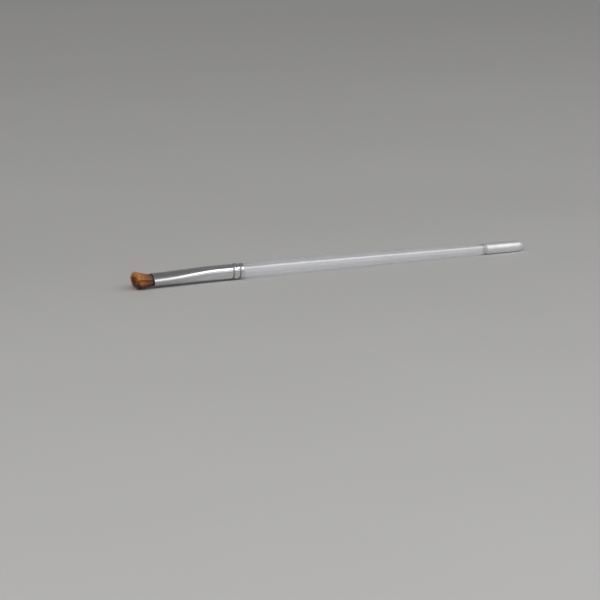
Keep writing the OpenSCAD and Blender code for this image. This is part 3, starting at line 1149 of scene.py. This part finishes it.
@dataclass(frozen=True)
class Handle:
    """Clear turned handle: a tenon in the ferrule, a belly, a hollow taper and a spigot in the cap."""

    ferrule: Ferrule
    cap: EndCap
    length: float = 125.7
    belly_d: float = 7.36
    belly_at: float = 18.0
    belly_blend: float = 0.05
    tail_d: float = 5.5
    hollow: float = 1.45
    tail_round: float = 8.0
    shoulder: float = 0.15
    film: float = 0.15
    fit: float = 0.02
    tenon_rows: int = 90
    body_rows: int = 190
    tail_rows: int = 20
    columns: int = 112
    finish: AcrylicFinish = AcrylicFinish()

    def radius(self, behind: np.ndarray) -> np.ndarray:
        """Radius behind the ferrule: an eased swell to the belly, then a power of what is left.

        Args:
            behind: Distances behind the ferrule.

        Returns:
            Radius at each distance.
        """
        belly, tail, tube = self.belly_d / 2, self.tail_d / 2, self.ferrule.diameter / 2
        swell = tube + (belly - tube) * ease(behind / self.belly_at)
        t = np.maximum(behind - self.belly_at, 0.0) / (self.length - self.belly_at)
        along = t * t * (1.0 + self.belly_blend) / (t + self.belly_blend)
        taper = tail + (belly - tail) * np.clip(1.0 - along, 0.0, 1.0) ** self.hollow
        return np.where(behind < self.belly_at, swell, taper)

    def tenon(self) -> np.ndarray:
        """Outline of the tenon: a glued stretch, then one that fills the crimps from inside.

        Returns:
            Rows of radius and distance along, the first one on the axis.
        """
        tube = self.ferrule
        bore = tube.diameter / 2 - tube.wall
        front = tube.press_len + self.film
        glued = tube.length - tube.groove_back[0] - tube.groove_r - tube.wall
        slim = bore - self.film - self.fit
        along = np.linspace(glued, tube.length, self.tenon_rows)
        core = np.stack([bore - self.fit + np.minimum(tube.crimp(along), 0.0), along], -1)
        core[-1, 0] = bore - self.fit
        return np.concatenate([[[0.0, front], [slim, front], [slim, glued]], core])

    def build(self) -> Surface:
        """Revolves the outline from the tenon's face to the spigot's face.

        The tail closes on the neck by a quarter ellipse.

        Returns:
            The handle's closed surface.
        """
        start, tube_r = self.ferrule.length, self.ferrule.diameter / 2
        centre = (tube_r - self.shoulder, start + self.shoulder)
        shoulder = arc(centre, self.shoulder, Quarter.FRONT_OUTER, EDGE_ROWS)
        round_from = self.length - self.tail_round
        behind = np.linspace(2 * self.shoulder, round_from, self.body_rows)
        body = np.stack([self.radius(behind), start + behind], -1)
        turn = np.linspace(0.0, np.pi / 2, self.tail_rows)[1:]
        rise = body[-1, 0] - self.cap.neck
        along = start + round_from + self.tail_round * np.sin(turn)
        tail = np.stack([self.cap.neck + rise * np.cos(turn), along], -1)
        r, end = self.cap.spigot
        spigot = [[r, start + self.length], [r, end], [0.0, end]]
        profile = np.concatenate([self.tenon(), shoulder, body, tail, spigot])
        return self.cap.axis.turned(profile, self.columns)

    def dress(self) -> None:
        """Builds the handle in clear acrylic."""
        dress(self.build(), "handle_clear", "handle", self.finish)


@dataclass(frozen=True)
class Innards:
    """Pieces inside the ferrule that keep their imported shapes: thread, resin and glue film."""

    thread: ThreadFinish = ThreadFinish()
    resin: GlueFinish = GlueFinish(
        "resin_amber", light=(0.52, 0.30, 0.08), dark=(0.30, 0.15, 0.03), clarity=0.3, smooth=0.12
    )
    film: GlueFinish = GlueFinish(
        "glue_clear", light=(0.88, 0.86, 0.78), dark=(0.78, 0.75, 0.64), clarity=0.85, smooth=0.06
    )

    def dress(self, nodes: dict[str, bpy.types.Object]) -> None:
        """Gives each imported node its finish.

        Args:
            nodes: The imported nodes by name.
        """
        finishes = {"binding_thread": self.thread, "root_plug": self.resin, "tenon_adhesive": self.film}
        for name, finish in finishes.items():
            materials = nodes[name].data.materials
            materials.clear()
            materials.append(finish.make())
            LOG.info("%s: packed shape kept", name)


# Studio


@dataclass(frozen=True)
class PhotoCamera:
    """Camera at the photograph's angle, for a frame of 600 by 600 pixels."""

    axis: BrushAxis
    frame_px: float = 600.0
    focal_px: float = 1815.0
    sensor_mm: float = 36.0
    distance: float = 0.844
    azimuth: float = -24.7
    elevation: float = 11.5
    aim_along: float = 85.1
    aim_px: Pair = (25.35, 37.0)
    clip: Pair = (0.01, 50.0)

    def build(self) -> None:
        """Stands the camera off a point of the brush and turns it so that the point lands off centre.

        The pitch and the heading are solved so that the sight line through the point's place in
        the frame has the azimuth and elevation at which the camera stands.
        """
        a, e = math.radians(self.azimuth), math.radians(self.elevation)
        back = Vector((math.sin(a) * math.cos(e), -math.cos(a) * math.cos(e), math.sin(e)))
        right, up = self.aim_px
        reach = math.sqrt(right**2 + up**2 + self.focal_px**2)
        high = math.hypot(self.focal_px, up)
        pitch = math.asin(reach * math.sin(e) / high) + math.atan2(up, self.focal_px)
        level = up * math.sin(pitch) + self.focal_px * math.cos(pitch)
        heading = a + math.atan2(right, level)
        data = bpy.data.cameras.new("photo_camera")
        data.sensor_width = self.sensor_mm
        data.lens = self.sensor_mm * self.focal_px / self.frame_px
        data.clip_start, data.clip_end = self.clip
        camera = bpy.data.objects.new("photo_camera", data)
        aim = self.axis.place(np.zeros(1), np.zeros(1), np.array([self.aim_along]))[0]
        camera.location = Vector(aim.tolist()) + back * self.distance
        camera.rotation_euler = Euler((math.pi / 2 - pitch, 0.0, heading))
        bpy.context.scene.collection.objects.link(camera)
        bpy.context.scene.camera = camera


@dataclass(frozen=True)
class Softbox:
    """A rectangular soft light, by the way it lies in, its size and its brightness."""

    name: str
    way: Triple
    size: Pair
    brightness: float
    distance: float = 1.5

    def build(self) -> None:
        """Hangs the light, turned to the brush; its power is brightness times pi times area."""
        data = bpy.data.lights.new(self.name, "AREA")
        data.shape = "RECTANGLE"
        data.size, data.size_y = self.size
        data.energy = self.brightness * math.pi * self.size[0] * self.size[1]
        lamp = bpy.data.objects.new(self.name, data)
        way = Vector(self.way).normalized()
        lamp.location = way * self.distance
        lamp.rotation_euler = way.to_track_quat("Z", "Y").to_euler()
        bpy.context.scene.collection.objects.link(lamp)


@dataclass(frozen=True)
class Studio:
    """Plain pale floor, painted paler far behind as painted light, three soft lights, and air that darkens
    overhead.
    """

    cap: EndCap
    tuft_rest: float = 8.6
    floor_half: float = 6.0
    floor_steps: int = 9
    floor_colour: Colour = (0.56, 0.555, 0.545)
    floor_shade: float = 0.97
    floor_cells: Pair = (6.0, 6.0)
    floor_rough: float = 0.75
    floor_shine: float = 0.2
    # Painted light: the floor is mixed to this paler colour far behind.
    far_colour: Colour = (0.88, 0.872, 0.856)
    far_span: Pair = (0.1, 1.8)
    lights: tuple[Softbox, ...] = (
        Softbox("softbox_key", (0.41, -0.575, 0.708), (2.6, 0.55), 1.85),
        Softbox("softbox_fill", (0.41, -0.81, 0.414), (2.2, 0.92), 0.46),
        Softbox("softbox_side", (-0.50, -0.56, 0.66), (1.5, 1.1), 1.8),
    )
    air_span: Pair = (0.0, 0.9)
    air_light: Pair = (0.36, 0.22)

    def floor(self) -> None:
        """Builds the floor as the plane under the tuft and the cap, so that the brush rests on both."""
        axis = self.cap.axis
        rests = np.array([-self.tuft_rest, self.cap.nose_at])
        drops = np.array([axis.height, self.cap.diameter / 2])
        x = (rests + axis.mouth_x) * MM
        z = (axis.height - drops) * MM
        steps = np.linspace(-self.floor_half, self.floor_half, self.floor_steps)
        across, over = np.meshgrid(steps, steps, indexing="ij")
        height = z[0] + (across - x[0]) * (z[1] - z[0]) / (x[1] - x[0])
        points = np.stack([across, over, height], -1).reshape(-1, 3)
        index = np.arange(across.size).reshape(across.shape)
        quads = np.stack([index[:-1, :-1], index[1:, :-1], index[1:, 1:], index[:-1, 1:]], -1)
        floor = Surface(points, quads.reshape(-1, 4), NO_TRIS).piece("floor")
        floor.data.materials.append(self.floor_finish())

    def floor_finish(self) -> bpy.types.Material:
        """A matt colour with faint clouds, which mixes by the distance behind to a paler far colour, a
        painted light.

        Returns:
            The material.
        """
        g = Graph(bpy.data.materials.new("floor_pale"))
        clouds = g.span(g.noise(self.floor_cells, Detail.GRAINY), CLOUDS)
        shaded = tuple(self.floor_shade * part for part in self.floor_colour)
        behind = g.add("SeparateXYZ", {0: g.add("TexCoord").outputs["Object"]}).outputs["Y"]
        near = g.mix(clouds, self.floor_colour, shaded)
        g.surface(
            base_color=g.mix(g.span(behind, self.far_span), near, self.far_colour),
            roughness=self.floor_rough,
            specular_ior_level=self.floor_shine,
        )
        return g.owner

    def air(self) -> None:
        """Lights the scene all round: the brightness falls with the height of the direction."""
        g = Graph(bpy.data.worlds.new("studio_air"))
        height = g.add("SeparateXYZ", {0: g.add("TexCoord").outputs["Generated"]}).outputs["Z"]
        strength = g.span(height, self.air_span, self.air_light)
        g.show(g.add("Background", {"Strength": strength}).outputs[0])
        bpy.context.scene.world = g.owner

    def build(self) -> None:
        """Builds the floor, the lights and the air."""
        self.floor()
        for light in self.lights:
            light.build()
        self.air()
        LOG.info("studio: floor, %d lights and air", len(self.lights))


def main() -> None:
    """Loads the frame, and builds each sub-assembly in order."""
    logging.basicConfig(level=logging.INFO, format="%(name)s: %(message)s")
    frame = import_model()
    bpy.context.scene.view_settings.view_transform = "Standard"
    axis = BrushAxis.from_frame()
    PhotoCamera(axis).build()
    ferrule, cap = Ferrule(axis), EndCap(axis)
    ferrule.dress()
    HairTuft(ferrule).dress()
    Handle(ferrule, cap).dress()
    cap.dress()
    Innards().dress(frame["nodes"])
    Studio(cap).build()


if __name__ == "__main__":
    main()
